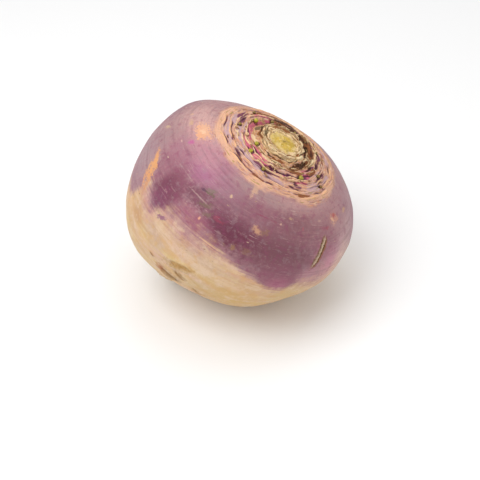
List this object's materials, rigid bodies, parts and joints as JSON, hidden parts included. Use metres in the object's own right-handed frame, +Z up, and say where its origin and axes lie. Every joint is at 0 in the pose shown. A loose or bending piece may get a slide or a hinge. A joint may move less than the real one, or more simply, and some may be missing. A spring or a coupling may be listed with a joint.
{
  "type": "rutabaga",
  "caption": "Round root vegetable with a purple top, cream underside, ringed leaf-scar crown and short trimmed taproot, lying on a small flat spot.",
  "frame": {"origin": "middle of the flat spot on the underside, where the root rests", "axes": "+Z up from the resting surface; the crown's axis leans 28 degrees from +Z towards +X; the taproot points down and towards -X"},
  "size_m": [0.114, 0.1168, 0.0981],
  "materials": {
    "skin": "satin waxy plant skin, dusky purple above and cream yellow below",
    "crown": "dry corky leaf bases and scar rims, matte",
    "bud": "fresh green leaf bud, satin",
    "rootlet": "dry tan side root, matte"
  },
  "bodies": {
    "root": {"rutabaga": "skin"}
  },
  "joints": []
}
